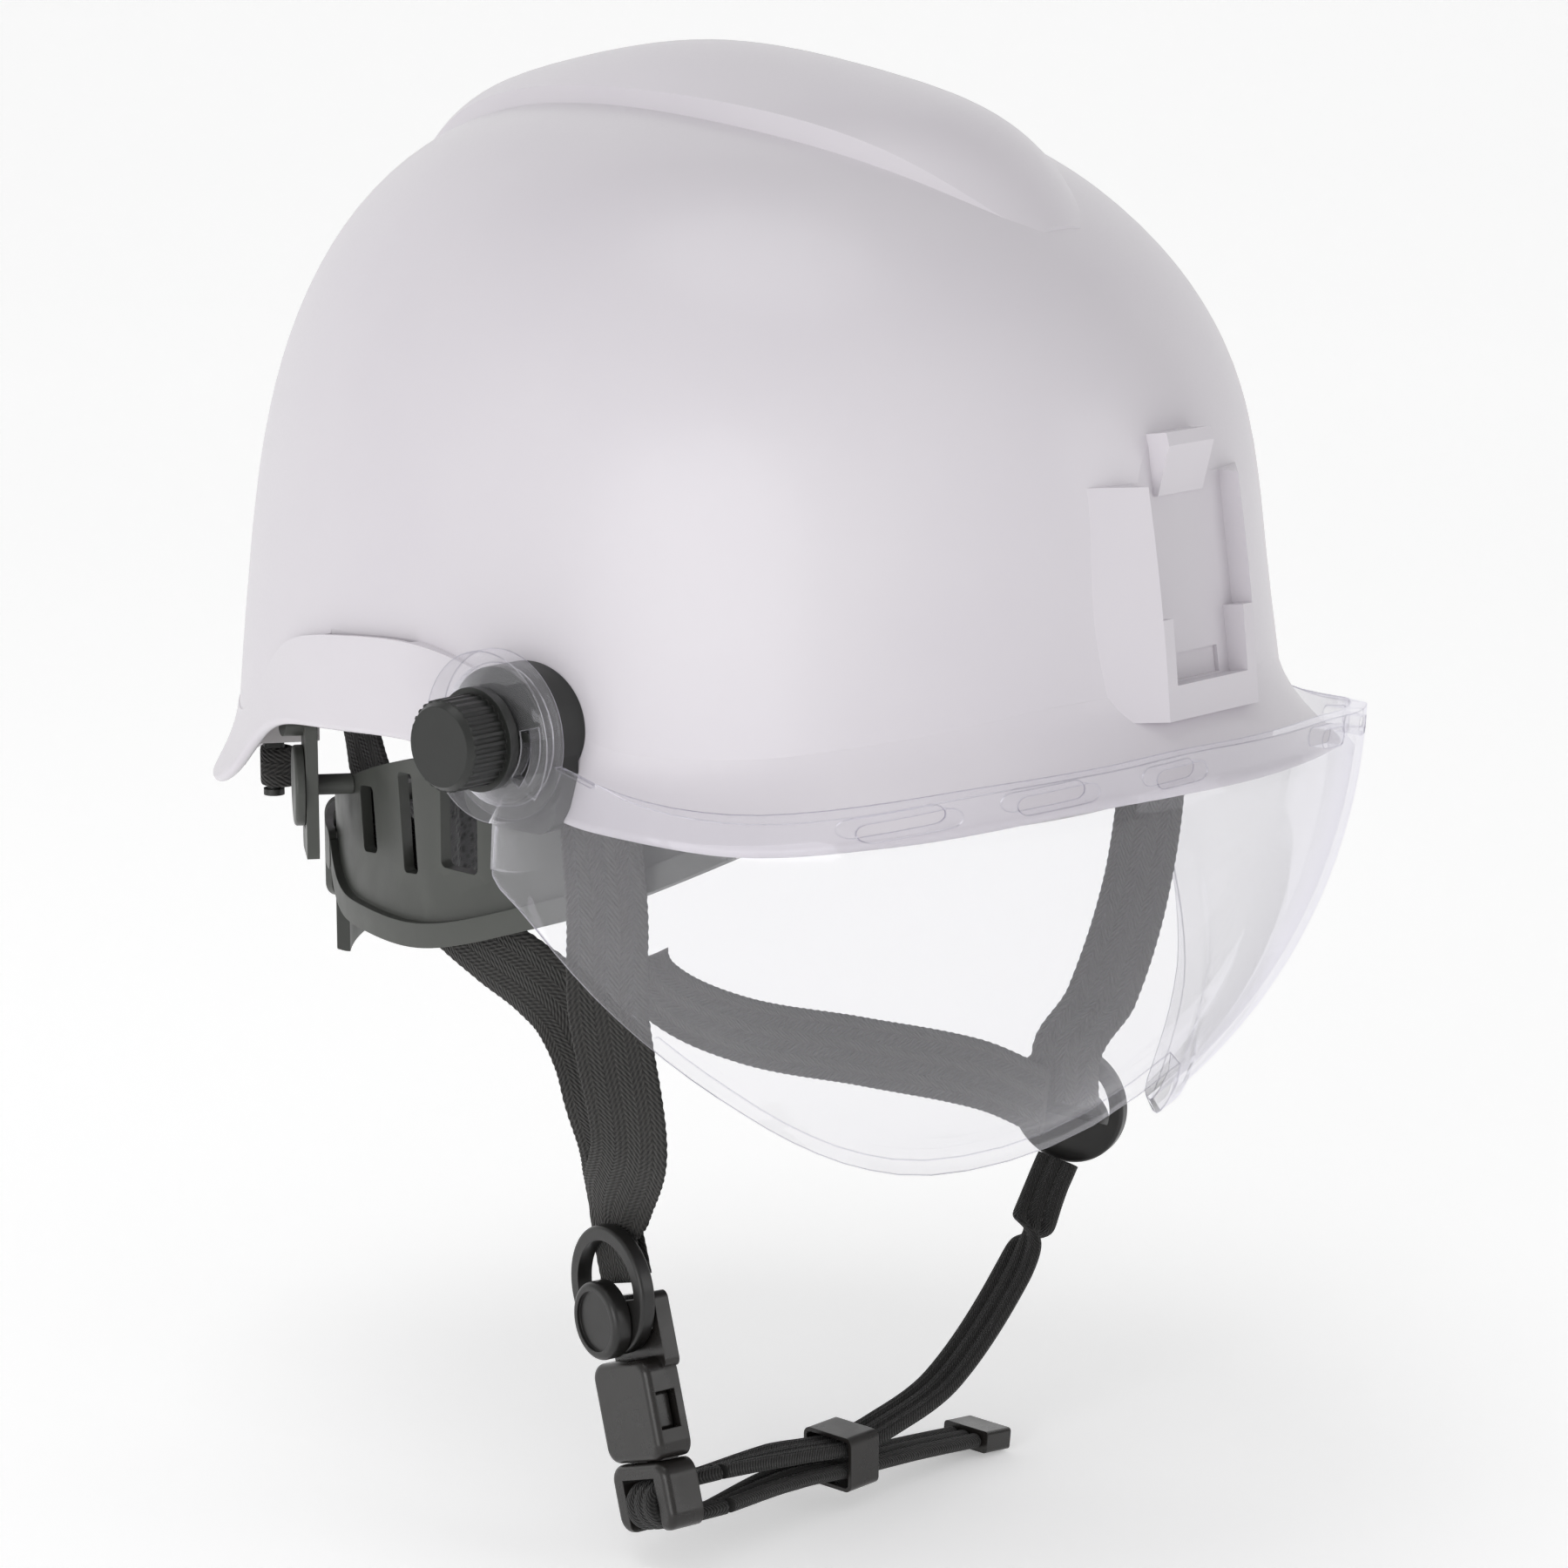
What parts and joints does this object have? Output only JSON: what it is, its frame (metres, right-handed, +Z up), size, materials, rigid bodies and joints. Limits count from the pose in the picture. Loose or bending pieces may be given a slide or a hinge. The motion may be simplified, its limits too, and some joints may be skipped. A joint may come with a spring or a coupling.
{
  "type": "hard hat",
  "caption": "Climbing-style safety helmet with a hinged clear half visor, ratchet headband, webbing suspension and side-release chin strap.",
  "frame": {"origin": "on the dome axis, in the plane of the shell rim at the ears", "axes": "+Z up, the helmet faces -Y, +X is the wearer's left"},
  "size_m": [0.2642, 0.3105, 0.3513],
  "materials": {
    "shell_white": "gloss",
    "visor_clear": "clear gloss",
    "knob_dark": "satin",
    "buckle_dark": "satin",
    "band_grey": "satin",
    "band_light": "satin",
    "pad_black": "matte",
    "webbing_dark": "matte",
    "steel": "brushed",
    "washer": "matte"
  },
  "bodies": {
    "helmet": {"buckle_socket": "buckle_dark", "chin_strap": "webbing_dark", "chin_strap_tail": "webbing_dark", "crown_pad": "pad_black", "crown_strap_diagonal_a": "webbing_dark", "crown_strap_diagonal_b": "webbing_dark", "crown_strap_side": "webbing_dark", "front_strap_left": "webbing_dark", "front_strap_right": "webbing_dark", "hanger_plate_left": "band_grey", "hanger_plate_right": "band_grey", "pivot_studs": "steel", "rear_brackets": "band_light", "rear_hook_bars": "knob_dark", "rear_hook_loops": "webbing_dark", "rear_strap_left": "webbing_dark", "rear_strap_right": "webbing_dark", "shell": "shell_white", "strap_anchors": "band_light", "strap_end_clip": "buckle_dark", "strap_slider_left": "knob_dark", "strap_slider_right": "knob_dark", "visor_adapter_left": "knob_dark", "visor_adapter_right": "knob_dark"},
    "visor": {"visor_lens": "visor_clear", "visor_washers": "washer"},
    "knob_right": {"visor_knob_right": "knob_dark"},
    "knob_left": {"visor_knob_left": "knob_dark"},
    "headband": {"headband_side_right": "band_grey", "headband_side_left": "band_grey", "brow_band": "band_light", "brow_pad": "pad_black", "hanger_buttons": "band_grey", "band_tail_right": "band_grey", "band_tail_left": "band_grey"},
    "nape": {"nape_cradle": "band_grey", "nape_cover": "band_grey", "cover_screws": "steel", "nape_pad": "pad_black", "detent_spring": "steel"},
    "dial": {"ratchet_dial": "knob_dark", "ratchet_pinion": "band_grey"},
    "band_end_right": {"rack_right": "band_grey"},
    "band_end_left": {"rack_left": "band_grey"},
    "plug": {"buckle_plug": "buckle_dark", "chin_strap_loop": "webbing_dark"},
    "prong_front": {"buckle_prong_front": "buckle_dark"},
    "prong_back": {"buckle_prong_back": "buckle_dark"},
    "keeper": {"strap_keeper": "buckle_dark"},
    "button_right": {"slider_button_right": "knob_dark"},
    "button_left": {"slider_button_left": "knob_dark"}
  },
  "joints": [
    {"name": "visor_pivot", "type": "hinge", "parent": "helmet", "child": "visor", "pos_m": [0, -0.031, 0.017], "axis": [-1, 0, 0], "range_deg": [0, 45]},
    {"name": "visor_knob_right_turn", "type": "hinge", "parent": "helmet", "child": "knob_right", "pos_m": [-0.125, -0.031, 0.017], "axis": [-1, 0, 0], "range_deg": [0, 180]},
    {"name": "visor_knob_left_turn", "type": "hinge", "parent": "helmet", "child": "knob_left", "pos_m": [0.125, -0.031, 0.017], "axis": [1, 0, 0], "range_deg": [0, 180]},
    {"name": "headband_height", "type": "slide", "parent": "helmet", "child": "headband", "axis": [0, 0, -1], "range_m": [0, 0.008], "stiffness_N_per_m": 300, "springref_m": -0.005},
    {"name": "nape_slide", "type": "slide", "parent": "headband", "child": "nape", "axis": [0, -1, 0], "range_m": [0, 0.012]},
    {"name": "ratchet_dial_turn", "type": "hinge", "parent": "nape", "child": "dial", "pos_m": [0, 0.117, -0.047], "axis": [0, 1, 0], "range_deg": [0, 137.52]},
    {"name": "band_end_right_slide", "type": "slide", "parent": "nape", "child": "band_end_right", "axis": [1, 0, 0], "range_m": [0, 0.012]},
    {"name": "band_end_left_slide", "type": "slide", "parent": "nape", "child": "band_end_left", "axis": [-1, 0, 0], "range_m": [0, 0.012]},
    {"name": "buckle_release", "type": "slide", "parent": "helmet", "child": "plug", "axis": [-0.065, -0.3187, -0.9456], "range_m": [0, 0.022], "stiffness_N_per_m": 20, "springref_m": -0.004},
    {"name": "prong_front_squeeze", "type": "hinge", "parent": "plug", "child": "prong_front", "pos_m": [-0.07669, -0.04627, -0.15979], "axis": [-0.9798, 0.2, 0], "range_deg": [0, 5]},
    {"name": "prong_back_squeeze", "type": "hinge", "parent": "plug", "child": "prong_back", "pos_m": [-0.07381, -0.03219, -0.16473], "axis": [0.9798, -0.2, 0], "range_deg": [0, 5]},
    {"name": "strap_keeper_slide", "type": "slide", "parent": "helmet", "child": "keeper", "axis": [1, 0, 0], "range_m": [-0.005, 0.005]},
    {"name": "slider_button_right_open", "type": "hinge", "parent": "helmet", "child": "button_right", "pos_m": [-0.07895, -0.02984, -0.13767], "axis": [-0.1891, -0.9265, 0.3253], "range_deg": [0, 50]},
    {"name": "slider_button_left_open", "type": "hinge", "parent": "helmet", "child": "button_left", "pos_m": [0.07729, -0.0404, -0.12003], "axis": [-0.283, 0.9554, 0.0839], "range_deg": [0, 50]}
  ],
  "couplings": [
    {"joint": "ratchet_dial_turn", "follows": "nape_slide", "rad_per_m": 200},
    {"joint": "band_end_right_slide", "follows": "nape_slide", "ratio": 1},
    {"joint": "band_end_left_slide", "follows": "nape_slide", "ratio": 1},
    {"joint": "prong_back_squeeze", "follows": "prong_front_squeeze", "ratio": 1}
  ]
}
